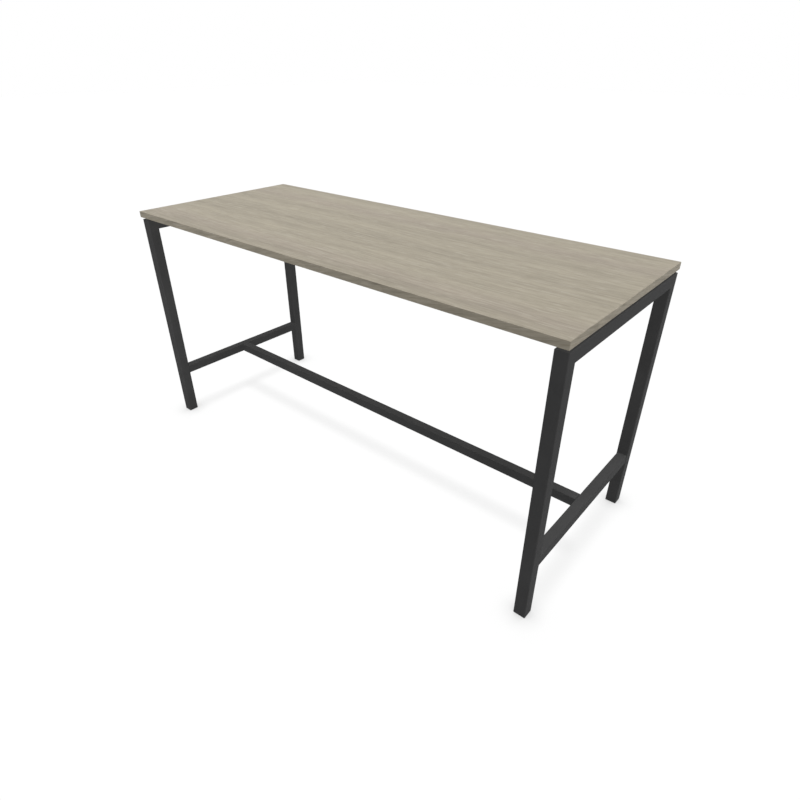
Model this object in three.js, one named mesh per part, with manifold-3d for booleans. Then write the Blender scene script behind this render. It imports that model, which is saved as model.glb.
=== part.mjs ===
// Standing meeting table: a faced board floats over two welded end frames, tied by a foot rail.
// Millimetres, +Z up. The origin lies on the floor under the middle of the board, X along its length.

import * as THREE from 'three';
import { mergeVertices } from 'three/addons/utils/BufferGeometryUtils.js';
import Module from 'manifold-3d';

const wasm = await Module();
wasm.setup();

// Board
const tableHeight = 1050;
const boardLength = 2100;
const boardWidth = 830;
const boardThickness = 26;
const bandThickness = 2;
const bandRounding = 1;

// Welded end frames: their ends are flush with the board's, their sides stand back from its long edges
const shadowGap = 10;
const frameSetback = 8;
const legTube = 45;
const legWall = 2;
const barTube = 40;
const barWall = 2;
const tubeCorner = 3;
const crossBarTop = 256;

// Foot rail joint: a spigot on each cross bar slides into the rail, and set screws hold it from below.
// The size of a six-sided key is measured from its centre to a corner, here and below.
const spigotLength = 65;
const spigotWall = 3;
const setScrewRadius = 4;
const setScrewLength = 8;
const setScrewKey = 2.3;
const setScrewEdge = 18;
const setScrewSpacing = 24;

// Beams under the board and the plates that bolt them to the top rails
const beamSpacing = 400;
const plateThickness = 5;
const plateCorner = 6;
const plateEdge = 11;
const boltRadius = 4;
const boltReach = 5;
const boltHeadRadius = 7;
const boltHeadHeight = 4.4;
const boltHeadRim = 1.4;
const boltCrownRadius = 4.4;
const boltKey = 2.9;
const boltKeyDepth = 2.5;
const boltRoom = 4;

// Fixing of the board: screws pass through tube and spacer from below
const fixingInset = 105;
const spacerRadius = 15;
const spacerRounding = 1;
const screwRadius = 2.5;
const screwCover = 11;
const screwTip = 5;
const screwHeadRadius = 5.5;
const screwHeadHeight = 3.2;
const screwKey = 2.2;
const screwKeyDepth = 1.8;
const driverHoleRadius = 8;

// Levelling feet, drawn up into the leg ends
const footReveal = 2;
const footTravel = 12;
const cupWall = 2.4;
const padChamfer = 1;
const padTaper = 3.5;
const padHeight = 7;
const padRim = 4;
const padSole = 1.5;
const studRadius = 5;
const studChamfer = 1;
const studEngagement = 12;
const studDiscRadius = 6.5;
const studDiscHeight = 2.5;
const studNeckRadius = 4.3;
const collarKey = 7.5;
const collarHeight = 4;
const flangeThickness = 2.5;
const skirtHeight = 26;
const skirtWall = 2;
const finReach = 1;
const finHeight = 1.5;
const finCount = 3;
const bossWall = 4;
const bossWeb = 3;
const ribThickness = 1.6;
const ribDrop = 4;

// Clearances
const glueLine = 0.1;
const weldGap = 0.3;
const seatGap = 0.1;
const threadGap = 0.3;
const slideGap = 0.3;
const turnGap = 0.3;
const screwGap = 0.8;
const recessGap = 0.8;

// Smoothness of round forms
const cornerSteps = 2;
const hiddenCornerSteps = 1;
const holeSides = 16;
const screwSides = 12;
const padSides = 20;
const keySides = 6;
const weldTolerance = 1e-4;

// Places that follow from the sizes above
const boardBottom = tableHeight - boardThickness;
const frameTop = boardBottom - shadowGap;
const frameDepth = boardWidth - 2 * frameSetback;
const endX = boardLength / 2 - legTube / 2;
const legY = frameDepth / 2 - legTube / 2;
const railZ = frameTop - legTube / 2;
const crossBarZ = crossBarTop - barTube / 2;
const crossBarInner = endX - barTube / 2;
const railInner = endX - legTube / 2;
const beamY = beamSpacing / 2;
const beamZ = frameTop - barTube / 2;
const plateInner = railInner - seatGap - plateThickness;
const boltSpacing = barTube + 2 * (boltHeadRadius + boltRoom);
const railFixingY = frameDepth / 2 - fixingInset;
const screwBite = boardThickness - screwCover;
const collarBottom = padHeight + turnGap;
const collarTop = collarBottom + collarHeight;
const recessTop = collarTop + turnGap;
const studTop = recessTop + footTravel + studEngagement;
const legBottom = footReveal + flangeThickness + seatGap;
const skirtSize = legTube - 2 * (legWall + slideGap + finReach);
const cupRadius = skirtSize / 2 - cupWall;
const padRadius = cupRadius - recessGap;

const ends = [{ name: 'left', sign: -1 }, { name: 'right', sign: 1 }];
const sides = [{ name: 'front', sign: -1 }, { name: 'back', sign: 1 }];

// Finishes
const finishes = {
  decor: { color: 0xb0a48f, roughness: 0.55, metalness: 0 },
  band: { color: 0xaa9e89, roughness: 0.5, metalness: 0 },
  coat: { color: 0x38393a, roughness: 0.6, metalness: 0 },
  moulding: { color: 0x1d1d1e, roughness: 0.65, metalness: 0 },
  zinc: { color: 0xb9bcbf, roughness: 0.35, metalness: 1 },
};

const table = new THREE.Group();

function addPiece(name, geometry, finish, parent = table) {
  const piece = new THREE.Mesh(geometry, new THREE.MeshStandardMaterial(finishes[finish]));
  piece.name = name;
  parent.add(piece);
  return piece;
}

// A piece made along Z is laid along X or Y, with its +Y side upwards

function layAlongX(piece) {
  piece.rotation.set(Math.PI / 2, 0, Math.PI / 2, 'ZYX');
}

function layAlongY(piece) {
  piece.rotation.set(Math.PI / 2, 0, 0);
}

// Joining and cutting of closed shapes

function solidOf(geometry) {
  const bare = geometry.clone();
  bare.deleteAttribute('normal');
  bare.deleteAttribute('uv');
  const merged = mergeVertices(bare, weldTolerance);
  const corners = [];
  for (let i = 0; i < merged.index.count; i += 3) {
    const triangle = [0, 1, 2].map((k) => merged.index.getX(i + k));
    if (new Set(triangle).size === 3) corners.push(...triangle);
  }
  const vertProperties = new Float32Array(merged.attributes.position.array);
  return new wasm.Manifold(new wasm.Mesh({ numProp: 3, vertProperties, triVerts: new Uint32Array(corners) }));
}

function geometryOf(solid) {
  const mesh = solid.getMesh();
  const geometry = new THREE.BufferGeometry();
  geometry.setAttribute('position', new THREE.BufferAttribute(new Float32Array(mesh.vertProperties), 3));
  geometry.setIndex(new THREE.BufferAttribute(new Uint32Array(mesh.triVerts), 1));
  geometry.computeVertexNormals();
  return geometry;
}

function joined(shapes) {
  return geometryOf(shapes.map(solidOf).reduce((whole, shape) => whole.add(shape)));
}

function cut(geometry, holes) {
  return geometryOf(holes.map(solidOf).reduce((whole, hole) => whole.subtract(hole), solidOf(geometry)));
}

// Basic shapes

function roundedRectangle(outline, width, height, radius) {
  const x = width / 2;
  const y = height / 2;
  outline.moveTo(radius - x, -y);
  outline.lineTo(x - radius, -y);
  outline.absarc(x - radius, radius - y, radius, -Math.PI / 2, 0);
  outline.lineTo(x, y - radius);
  outline.absarc(x - radius, y - radius, radius, 0, Math.PI / 2);
  outline.lineTo(radius - x, y);
  outline.absarc(radius - x, y - radius, radius, Math.PI / 2, Math.PI);
  outline.lineTo(-x, radius - y);
  outline.absarc(radius - x, radius - y, radius, Math.PI, 1.5 * Math.PI);
  return outline;
}

function extruded(shape, depth, curveSegments = cornerSteps) {
  return new THREE.ExtrudeGeometry(shape, { depth, bevelEnabled: false, curveSegments });
}

function squareBlock(size, corner, bottom, top, steps = hiddenCornerSteps) {
  const outline = roundedRectangle(new THREE.Shape(), size, size, corner);
  return extruded(outline, top - bottom, steps).translate(0, 0, bottom);
}

// Square tube along Z, centred on its length
function squareTube(size, wall, length) {
  const section = roundedRectangle(new THREE.Shape(), size, size, tubeCorner);
  const insideCorner = Math.max(tubeCorner - wall, tubeCorner / 4);
  section.holes.push(roundedRectangle(new THREE.Path(), size - 2 * wall, size - 2 * wall, insideCorner));
  return extruded(section, length).translate(0, 0, -length / 2);
}

// Turned shape about Z, from (radius, height) pairs that run up its outside
function turned(profile, facets) {
  const points = profile.map(([radius, height]) => new THREE.Vector2(radius, height));
  return new THREE.LatheGeometry(points, facets).rotateX(Math.PI / 2);
}

// Straight pin along an axis about a centre: round holes, and six-sided keys
function pin(radius, length, axis, centre, facets = holeSides) {
  const shape = new THREE.CylinderGeometry(radius, radius, length, facets);
  if (axis === 'z') shape.rotateX(Math.PI / 2);
  if (axis === 'x') shape.rotateZ(Math.PI / 2);
  return shape.translate(...centre);
}

// Cutter for a hole through one wall of a tube, centred on the wall's outer face
function wallHole(radius, wall, axis, centre) {
  return pin(radius, 3 * wall, axis, centre);
}

// Shears an end of a tube to 45 degrees, leaving the side towards +Y at its full length
function mitreEnd(geometry, size, end) {
  const position = geometry.attributes.position;
  for (let i = 0; i < position.count; i += 1) {
    const z = position.getZ(i);
    if (Math.abs(z - end) < weldTolerance) {
      position.setZ(i, z - Math.sign(end) * (size / 2 - position.getY(i)));
    }
  }
  return geometry;
}

// Board: panel with pilot holes, and an edge band glued to each side

function fixingPlaces() {
  const places = [];
  for (const side of sides) {
    for (const end of ends) {
      const name = `${side.name}_${end.name}`;
      places.push({ name, x: end.sign * endX, y: side.sign * railFixingY, wall: legWall });
    }
    places.push({ name: `${side.name}_middle`, x: 0, y: side.sign * beamY, wall: barWall });
  }
  return places;
}

function addPanel() {
  const edge = bandThickness + glueLine;
  const slab = new THREE.BoxGeometry(boardLength - 2 * edge, boardWidth - 2 * edge, boardThickness);
  const depth = screwBite + screwGap;
  const pilots = fixingPlaces().map(({ x, y }) => (
    pin(screwRadius + threadGap, 2 * depth, 'z', [x, y, -boardThickness / 2])
  ));
  addPiece('top_panel', cut(slab, pilots), 'decor').position.z = boardBottom + boardThickness / 2;
}

// Band section: the glued face lies on X = 0, and both outer arrises are rounded
function bandSection() {
  const half = boardThickness / 2;
  const section = new THREE.Shape();
  section.moveTo(0, -half);
  section.lineTo(bandThickness - bandRounding, -half);
  section.absarc(bandThickness - bandRounding, bandRounding - half, bandRounding, -Math.PI / 2, 0);
  section.lineTo(bandThickness, half - bandRounding);
  section.absarc(bandThickness - bandRounding, half - bandRounding, bandRounding, 0, Math.PI / 2);
  section.lineTo(0, half);
  return section;
}

// The long bands cover the ends of the short ones
function addEdgeBands() {
  const shortLength = boardWidth - 2 * (bandThickness + glueLine);
  const middle = boardBottom + boardThickness / 2;
  const bands = [
    { name: 'right', length: shortLength, turn: 0, x: boardLength / 2 - bandThickness, y: 0 },
    { name: 'back', length: boardLength, turn: Math.PI / 2, x: 0, y: boardWidth / 2 - bandThickness },
    { name: 'left', length: shortLength, turn: Math.PI, x: bandThickness - boardLength / 2, y: 0 },
    { name: 'front', length: boardLength, turn: -Math.PI / 2, x: 0, y: bandThickness - boardWidth / 2 },
  ];
  for (const { name, length, turn, x, y } of bands) {
    const strip = extruded(bandSection(), length).translate(0, 0, -length / 2).rotateX(Math.PI / 2);
    const band = addPiece(`edge_band_${name}`, strip, 'band');
    band.position.set(x, y, middle);
    band.rotation.z = turn;
  }
}

// End frames: two legs and a top rail meet in mitres, and a cross bar is welded between the legs

function addLeg(frame, end, side) {
  const length = frameTop - weldGap - legBottom;
  const tube = mitreEnd(squareTube(legTube, legWall, length), legTube, length / 2);
  const leg = addPiece(`leg_${side.name}_${end.name}`, tube, 'coat', frame);
  leg.position.set(0, side.sign * legY, legBottom + length / 2);
  leg.rotation.z = side.sign > 0 ? 0 : Math.PI;
}

// Holes of a tube at a board fixing: a close one in the top wall, a wide one for the driver below
function fixingHoles(size, wall, along) {
  return [
    wallHole(screwRadius + screwGap, wall, 'y', [0, size / 2, along]),
    wallHole(driverHoleRadius, wall, 'y', [0, -size / 2, along]),
  ];
}

function addTopRail(frame, end) {
  const tube = squareTube(legTube, legWall, frameDepth);
  mitreEnd(tube, legTube, frameDepth / 2);
  mitreEnd(tube, legTube, -frameDepth / 2);
  const holes = [];
  for (const side of sides) {
    holes.push(...fixingHoles(legTube, legWall, side.sign * railFixingY));
    for (const place of [-boltSpacing / 2, boltSpacing / 2]) {
      const along = side.sign * beamY + place;
      const wallCentre = [-end.sign * legTube / 2, beamZ - railZ, along];
      holes.push(wallHole(boltRadius + threadGap, legWall, 'x', wallCentre));
    }
  }
  const rail = addPiece(`top_rail_${end.name}`, cut(tube, holes), 'coat', frame);
  rail.position.z = railZ;
  layAlongY(rail);
}

function addCrossBar(frame, end) {
  const length = frameDepth - 2 * (legTube + weldGap);
  const bar = addPiece(`cross_bar_${end.name}`, squareTube(barTube, barWall, length), 'coat', frame);
  bar.position.z = crossBarZ;
  layAlongY(bar);
}

function addEndFrame(end) {
  const frame = new THREE.Group();
  frame.position.x = end.sign * endX;
  table.add(frame);
  sides.forEach((side) => addLeg(frame, end, side));
  addTopRail(frame, end);
  addCrossBar(frame, end);
}

// Foot rail with its spigots and set screws

function setScrewPlaces(end) {
  const railEnd = crossBarInner - weldGap;
  return [0, 1].map((k) => end.sign * (railEnd - setScrewEdge - k * setScrewSpacing));
}

function addFootRail() {
  const length = 2 * (crossBarInner - weldGap);
  const holes = ends.flatMap(setScrewPlaces).map((x) => (
    wallHole(setScrewRadius + threadGap, barWall, 'y', [0, -barTube / 2, x])
  ));
  const rail = addPiece('foot_rail', cut(squareTube(barTube, barWall, length), holes), 'coat');
  rail.position.z = crossBarZ;
  layAlongX(rail);
}

function addSpigot(end) {
  const size = barTube - 2 * (barWall + slideGap);
  const middle = crossBarInner - weldGap - spigotLength / 2;
  const holes = setScrewPlaces(end).map((x) => (
    wallHole(setScrewRadius + threadGap, spigotWall, 'y', [0, -size / 2, x - end.sign * middle])
  ));
  const tube = squareTube(size, spigotWall, spigotLength);
  const spigot = addPiece(`foot_rail_spigot_${end.name}`, cut(tube, holes), 'coat');
  spigot.position.set(end.sign * middle, 0, crossBarZ);
  layAlongX(spigot);
}

function addSetScrews(end) {
  const body = turned([
    [0, 0], [setScrewRadius, 0], [setScrewRadius, setScrewLength], [0, setScrewLength],
  ], screwSides);
  const socket = pin(setScrewKey, setScrewLength, 'z', [0, 0, 0], keySides);
  const screw = cut(body, [socket]);
  setScrewPlaces(end).forEach((x, k) => {
    const name = `foot_rail_set_screw_${end.name}_${k + 1}`;
    addPiece(name, screw.clone(), 'zinc').position.set(x, 0, crossBarZ - barTube / 2);
  });
}

// Beams under the board, with bolted end plates

function addBeam(side) {
  const length = 2 * (plateInner - weldGap);
  const holes = fixingHoles(barTube, barWall, 0);
  const beam = addPiece(`beam_${side.name}`, cut(squareTube(barTube, barWall, length), holes), 'coat');
  beam.position.set(0, side.sign * beamY, beamZ);
  layAlongX(beam);
}

function addEndPlate(side, end) {
  const outline = roundedRectangle(new THREE.Shape(), boltSpacing + 2 * plateEdge, barTube, plateCorner);
  const blank = extruded(outline, plateThickness).translate(0, 0, -plateThickness / 2);
  const holes = [-boltSpacing / 2, boltSpacing / 2].map((x) => (
    pin(boltRadius + threadGap, 2 * plateThickness, 'z', [x, 0, 0])
  ));
  const plate = addPiece(`beam_plate_${side.name}_${end.name}`, cut(blank, holes), 'coat');
  plate.position.set(end.sign * (plateInner + plateThickness / 2), side.sign * beamY, beamZ);
  layAlongX(plate);
}

// Button-head bolt with a six-sided socket, its seat at height 0 and its shank upwards
function buttonBolt() {
  const shank = 2 * seatGap + plateThickness + legWall + boltReach;
  const body = turned([
    [0, -boltHeadHeight], [boltCrownRadius, -boltHeadHeight], [boltHeadRadius, -boltHeadRim],
    [boltHeadRadius, 0], [boltRadius, 0], [boltRadius, shank], [0, shank],
  ], screwSides);
  return cut(body, [pin(boltKey, 2 * boltKeyDepth, 'z', [0, 0, -boltHeadHeight], keySides)]);
}

function addPlateBolts(side, end) {
  const bolt = buttonBolt();
  [-1, 1].forEach((step, k) => {
    const piece = addPiece(`plate_bolt_${side.name}_${end.name}_${k + 1}`, bolt.clone(), 'zinc');
    const y = side.sign * beamY + step * boltSpacing / 2;
    piece.position.set(end.sign * (plateInner - seatGap), y, beamZ);
    piece.rotation.y = end.sign * Math.PI / 2;
  });
}

// Spacers in the shadow gap and the screws that hold the board

function addSpacer({ name, x, y }) {
  const bore = screwRadius + screwGap;
  const height = shadowGap - 2 * seatGap;
  const flat = spacerRadius - spacerRounding;
  const ring = turned([
    [bore, 0], [flat, 0], [spacerRadius, spacerRounding], [spacerRadius, height - spacerRounding],
    [flat, height], [bore, height], [bore, 0],
  ], padSides);
  addPiece(`spacer_${name}`, ring, 'moulding').position.set(x, y, frameTop + seatGap);
}

function addTopScrew({ name, x, y, wall }) {
  const length = wall + seatGap + shadowGap + screwBite;
  const body = turned([
    [0, -screwHeadHeight], [screwHeadRadius / 2, -screwHeadHeight], [screwHeadRadius, -screwHeadHeight / 2],
    [screwHeadRadius, 0], [screwRadius, 0], [screwRadius, length - screwTip], [0, length],
  ], screwSides);
  const socket = pin(screwKey, 2 * screwKeyDepth, 'z', [0, 0, -screwHeadHeight], keySides);
  addPiece(`top_screw_${name}`, cut(body, [socket]), 'zinc').position.set(x, y, frameTop - wall - seatGap);
}

// Levelling feet

// Insert in a leg end: flange, finned skirt, cup for the pad, and a ribbed boss that takes the stud
function legInsert() {
  const hollow = skirtSize - 2 * skirtWall;
  const skirtCorner = tubeCorner / 2;
  const cupTop = recessTop - footReveal;
  const webTop = cupTop + bossWeb;
  const top = flangeThickness + skirtHeight;
  const wall = [
    squareBlock(legTube, tubeCorner, 0, flangeThickness, cornerSteps),
    squareBlock(skirtSize, skirtCorner, 0, top),
  ];
  for (let k = 1; k <= finCount; k += 1) {
    const bottom = flangeThickness + k * skirtHeight / (finCount + 1);
    wall.push(squareBlock(skirtSize + 2 * finReach, skirtCorner, bottom, bottom + finHeight));
  }
  const shell = cut(joined(wall), [squareBlock(hollow, skirtCorner, webTop, top + skirtWall)]);
  const ribHeight = top - ribDrop - cupTop;
  const ribs = [0, 1].map((turn) => {
    const rib = new THREE.BoxGeometry(hollow + skirtWall, ribThickness, ribHeight);
    return rib.rotateZ(turn * Math.PI / 2).translate(0, 0, cupTop + ribHeight / 2);
  });
  const boss = pin(studRadius + bossWall, top - cupTop, 'z', [0, 0, (top + cupTop) / 2]);
  const cup = pin(cupRadius, 2 * cupTop, 'z', [0, 0, 0], padSides);
  const bore = pin(studRadius + threadGap, 2 * top, 'z', [0, 0, top]);
  return cut(joined([shell, ...ribs, boss]), [cup, bore]);
}

// Stud: a disc snapped into the pad, a collar for a spanner, and the threaded shank
function footStud() {
  const discBottom = padSole + turnGap;
  const discTop = discBottom + studDiscHeight;
  const body = turned([
    [0, discBottom], [studDiscRadius, discBottom], [studDiscRadius, discTop], [studNeckRadius, discTop],
    [studNeckRadius, collarTop - studChamfer], [studRadius, collarTop - studChamfer],
    [studRadius, studTop - studChamfer], [studRadius - studChamfer, studTop], [0, studTop],
  ], screwSides);
  const collar = pin(collarKey, collarHeight, 'z', [0, 0, (collarBottom + collarTop) / 2], keySides);
  return joined([body, collar]);
}

// Pad: a round glide whose socket closes over the stud's disc
function footPad() {
  const socketRadius = studDiscRadius + turnGap;
  const socketTop = padSole + studDiscHeight + 2 * turnGap;
  const mouth = studNeckRadius + turnGap;
  return turned([
    [0, 0], [padRadius - padChamfer, 0], [padRadius, padChamfer], [padRadius, padRim],
    [padRadius - padTaper, padHeight], [mouth, padHeight], [mouth, socketTop],
    [socketRadius, socketTop], [socketRadius, padSole], [0, padSole],
  ], padSides);
}

function addFoot(side, end) {
  const place = [end.sign * endX, side.sign * legY];
  const name = `${side.name}_${end.name}`;
  addPiece(`leg_insert_${name}`, legInsert(), 'moulding').position.set(...place, footReveal);
  addPiece(`foot_stud_${name}`, footStud(), 'zinc').position.set(...place, 0);
  addPiece(`foot_pad_${name}`, footPad(), 'moulding').position.set(...place, 0);
}

// Assembly

addPanel();
addEdgeBands();
ends.forEach(addEndFrame);
addFootRail();
for (const end of ends) {
  addSpigot(end);
  addSetScrews(end);
}
for (const side of sides) {
  addBeam(side);
  for (const end of ends) {
    addEndPlate(side, end);
    addPlateBolts(side, end);
    addFoot(side, end);
  }
}
for (const place of fixingPlaces()) {
  addSpacer(place);
  addTopScrew(place);
}

export default table;
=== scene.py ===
import math

import bmesh
import bpy
from mathutils import Matrix, Vector


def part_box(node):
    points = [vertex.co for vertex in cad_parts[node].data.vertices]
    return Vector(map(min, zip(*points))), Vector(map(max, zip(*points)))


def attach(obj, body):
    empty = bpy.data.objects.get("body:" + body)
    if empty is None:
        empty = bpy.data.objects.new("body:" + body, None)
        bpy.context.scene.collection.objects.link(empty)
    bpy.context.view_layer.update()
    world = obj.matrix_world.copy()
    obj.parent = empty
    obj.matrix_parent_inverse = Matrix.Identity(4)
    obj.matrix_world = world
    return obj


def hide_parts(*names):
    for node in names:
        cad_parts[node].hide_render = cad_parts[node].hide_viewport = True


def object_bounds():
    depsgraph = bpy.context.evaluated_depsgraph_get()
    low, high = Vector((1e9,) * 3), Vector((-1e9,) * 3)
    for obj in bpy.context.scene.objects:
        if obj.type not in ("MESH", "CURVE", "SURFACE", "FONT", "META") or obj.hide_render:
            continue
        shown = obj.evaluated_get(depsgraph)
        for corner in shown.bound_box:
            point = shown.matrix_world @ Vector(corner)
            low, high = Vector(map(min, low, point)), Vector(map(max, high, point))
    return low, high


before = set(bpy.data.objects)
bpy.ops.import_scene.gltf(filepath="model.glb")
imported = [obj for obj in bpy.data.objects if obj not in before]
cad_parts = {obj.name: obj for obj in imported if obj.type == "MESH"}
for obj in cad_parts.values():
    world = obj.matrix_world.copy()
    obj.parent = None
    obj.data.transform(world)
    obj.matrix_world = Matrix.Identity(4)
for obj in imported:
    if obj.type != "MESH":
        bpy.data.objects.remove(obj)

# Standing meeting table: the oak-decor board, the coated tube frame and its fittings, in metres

cad_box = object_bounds()

MM = 0.001
TINY = 0.001 * MM
WHITE = (1, 1, 1, 1)

# Places that the names of pieces tell, and the way along X from each end to the middle
ENDS = ("left", "right")
SIDES = ("front", "back")
CORNERS = [f"{side}_{end}" for side in SIDES for end in ENDS]
FIXINGS = [*CORNERS, "front_middle", "back_middle"]
PAIR = (1, 2)
INWARD = {"left": 1, "right": -1}

# Sides of a tube that is made along Z and then laid down
UPPER_SIDE = Vector((0, 1, 0))
LOWER_SIDE = Vector((0, -1, 0))

# Tubes, the radii of the holes drilled in them, and the reach of the faces round a hole, in radii
LEG_WALL = 2 * MM
BAR_WALL = 2 * MM
TUBE_CORNER = 3 * MM
DRIVER_HOLE = 8 * MM
SCREW_HOLE = 3.3 * MM
SET_SCREW_HOLE = 4.3 * MM
BOLT_HOLE = 4.3 * MM
HOLE_MARGIN = 1.3

# Edge bands, end plates and spacers
BAND_ARRIS = 1 * MM
BAND_CORNER = 1.3 * MM
PLATE_CORNER = 6 * MM
PLATE_ARRIS = 0.5 * MM
SPACER_BORE = 3.3 * MM
SPACER_ARRIS = 1 * MM

# Bolts of the end plates: heights of head, rim and tip, radii of crown, shank and key
BOLT_HEAD = 4.4 * MM
BOLT_RIM = 1 * MM
BOLT_CROWN = 4 * MM
BOLT_SHANK = 4 * MM
BOLT_TIP = 0.8 * MM
BOLT_KEY = 2.9 * MM
BOLT_KEY_DEPTH = 2.5 * MM

# Screws of the board, in the same terms
BOARD_SCREW_HEAD = 3.2 * MM
BOARD_SCREW_RIM = 0.8 * MM
BOARD_SCREW_CROWN = 3.2 * MM
BOARD_SCREW_SHANK = 2.5 * MM
BOARD_SCREW_TIP = 5 * MM
BOARD_SCREW_KEY = 2.2 * MM
BOARD_SCREW_KEY_DEPTH = 1.8 * MM

# Set screws: radius of the key, and the chamfer as a share of the screw's radius
SET_SCREW_KEY = 2.3 * MM
SET_SCREW_CHAMFER = 0.15

# Welds: beads in the inner corners, and mitres ground a little below the tubes
BEAD_RADIUS = 1.7 * MM
BEAD_RIPPLE = 1.5 * MM
BEAD_SWELL = 0.09
MITRE_SUNK = 0.02 * MM
MITRE_LAP = 0.05 * MM

# Levelling foot
STUD_ROOT = 4.1 * MM
STUD_CREST = 4.9 * MM
STUD_PITCH = 1.5 * MM
STUD_DISC = 6.5 * MM
STUD_DISC_HEIGHT = 2.5 * MM
STUD_NECK = 4.3 * MM
STUD_ARRIS = 0.3 * MM
COLLAR_KEY = 7.5 * MM
COLLAR_HEIGHT = 4 * MM
COLLAR_TOP = 11.3 * MM
COLLAR_ARRIS = 0.4 * MM
PAD_SOLE = 1.5 * MM
PAD_CHAMFER = 1 * MM
PAD_RIM = 4 * MM
PAD_TAPER = 3.5 * MM
PAD_ARRIS = 0.5 * MM
TURN_PLAY = 0.3 * MM

# One tooth of the stud's thread: radius, and height as a share of the pitch
STUD_TOOTH = [
    (STUD_ROOT, 0.0),
    (STUD_ROOT, 0.15),
    (STUD_CREST, 0.45),
    (STUD_CREST, 0.6),
    (STUD_ROOT, 0.9),
    (STUD_ROOT, 1.0),
]

# Smoothness of round forms, and the angles above which an edge is sharp or is kept at all
CORNER_STEPS = 6
ARRIS_STEPS = 3
BAND_ARRIS_STEPS = 6
SPACER_ARRIS_STEPS = 4
STUD_ARRIS_STEPS = 2
DOME_STEPS = 6
HOLE_STEPS = 32
TURNED_STEPS = 48
THREAD_STEPS = 32
BEAD_SIDES = 8
BEAD_STEPS = 3
KEY_SIDES = 6
SHARP_ANGLE = math.radians(35)
FLAT_ANGLE = math.radians(0.5)

# Colours of the oak decor, and its tints outside and inside the rosy bands
OAK_DARK = (0.223, 0.201, 0.161, 1)
OAK_PALE = (0.453, 0.408, 0.327, 1)
OAK_FIBRE = (0.43, 0.392, 0.325, 1)
OAK_PORE = (0.162, 0.14, 0.105, 1)
OAK_OLIVE_TINT = (0.999, 1.0, 0.989, 1)
OAK_ROSY_TINT = (1.018, 0.998, 1.022, 1)

# Broad bands along the board: their places across it, and how far each fades out
OAK_BROAD_BANDS = {
    "dark": ((0.217, 0.133, -0.048, -0.131, -0.368), 40 * MM),
    "pale": ((0.345, 0.055, -0.173, -0.248), 40 * MM),
    "rosy": ((0.245, -0.335), 90 * MM),
}

# Waves of the grain: repeats to the metre along and across it, and how far they move it across
OAK_WAVES = [((0.7, 2.5), 8 * MM), ((3.0, 12.0), 5 * MM)]
WAVE_SPAN = (0.2, 0.8)

# Figure of the grain: repeats along and across, detail, roughness, and the span of the noise that shows
NOISE_SPAN = (0.3, 0.7)
OAK_FIGURE = {
    "bands": ((0.3, 12.0), 1.0, 0.5, NOISE_SPAN),
    "streaks": ((6.5, 70.0), 3.0, 0.6, NOISE_SPAN),
    "lines": ((8.0, 230.0), 1.0, 0.5, NOISE_SPAN),
    "fibres": ((8.0, 650.0), 2.0, 0.5, NOISE_SPAN),
    "flecks": ((14.0, 170.0), 1.0, 0.5, (0.56, 0.72)),
    "vessels": ((17.0, 520.0), 1.0, 0.5, (0.60, 0.70)),
    "pores": ((24.0, 1500.0), 1.0, 0.5, (0.60, 0.72)),
}

# Growth rings: the swirl that bends them is counted in rings, and the power keeps each one's dark side narrow
RINGS_PER_METRE = 45.0
RING_SWIRL = 14.0
RING_SWIRL_REPEATS = (0.45, 4.5)
RING_POWER = 2.0

# Tone from dark to pale: its start, what each figure adds, and the tone that the contrast leaves alone
OAK_START_TONE = 0.20
OAK_TONE_SHARES = {"bands": 0.14, "streaks": 0.33, "lines": 0.22, "rings": -0.14, "pale": 0.10, "dark": -0.16}
OAK_KEPT_TONE = 0.6

# Fine figure laid over the tone: its colour, and how strongly it covers
OAK_FINE_FIGURE = {
    "fibres": (OAK_FIBRE, 0.15),
    "flecks": (OAK_FIBRE, 0.65),
    "vessels": (OAK_PORE, 0.30),
    "pores": (OAK_PORE, 0.45),
}

# Surface of the decor. The bands' grain is stronger and runs at a slant to the edge
OAK_FIBRE_HEIGHT = 0.35
OAK_RELIEF = (0.03 * MM, 0.5)
OAK_ROUGHNESS = (0.55, 0.68)
OAK_SHEEN = 0.1
OAK_WEAR_WIDTH = 0.8 * MM
FACING_CONTRAST = 0.9
FACING_WEAR = 0.0
BAND_CONTRAST = 1.5
BAND_WEAR = 0.35
BAND_SLANT = math.radians(11)

# Worn edges: how far the surface has to turn, and the noise that breaks the edge up
WEAR_SAMPLES = 6
WEAR_TURN = (0.99, 0.80)
WEAR_REPEATS = (55.0, 55.0)
WEAR_DETAIL = 4.0
WEAR_ROUGHNESS = 0.65
WEAR_BREAKS = (0.42, 0.62)

# Fine texture: the noise of its pebbles and of its patches
PEBBLE_DETAIL = 2.0
PEBBLE_ROUGHNESS = 0.55
PEBBLE_SPAN = (0.25, 0.75)
PATCH_REPEATS = (9.0, 9.0)
PATCH_DETAIL = 3.0

# Coat, plastics and zinc: colours, pebbles to the metre, width and amount of worn edges, relief, roughness
COAT_DARK = (0.048, 0.048, 0.0485, 1)
COAT_PALE = (0.068, 0.068, 0.0685, 1)
COAT_WORN = (0.10, 0.10, 0.101, 1)
COAT_PEBBLES = 1000.0
COAT_WEAR = (1.2 * MM, 0.35)
COAT_RELIEF = (0.08 * MM, 0.8)
COAT_ROUGHNESS = (0.78, 0.86)
COAT_WORN_SMOOTHER = 0.12
COAT_SHEEN = 0.08
FOOT_DARK = (0.012, 0.012, 0.0125, 1)
FOOT_PALE = (0.020, 0.020, 0.021, 1)
SPACER_DARK = (0.014, 0.014, 0.014, 1)
SPACER_PALE = (0.022, 0.022, 0.022, 1)
PLASTIC_WORN = (0.045, 0.045, 0.047, 1)
PLASTIC_PEBBLES = 2600.0
PLASTIC_WEAR = (0.5 * MM, 0.4)
PLASTIC_RELIEF = (0.03 * MM, 0.5)
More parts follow.
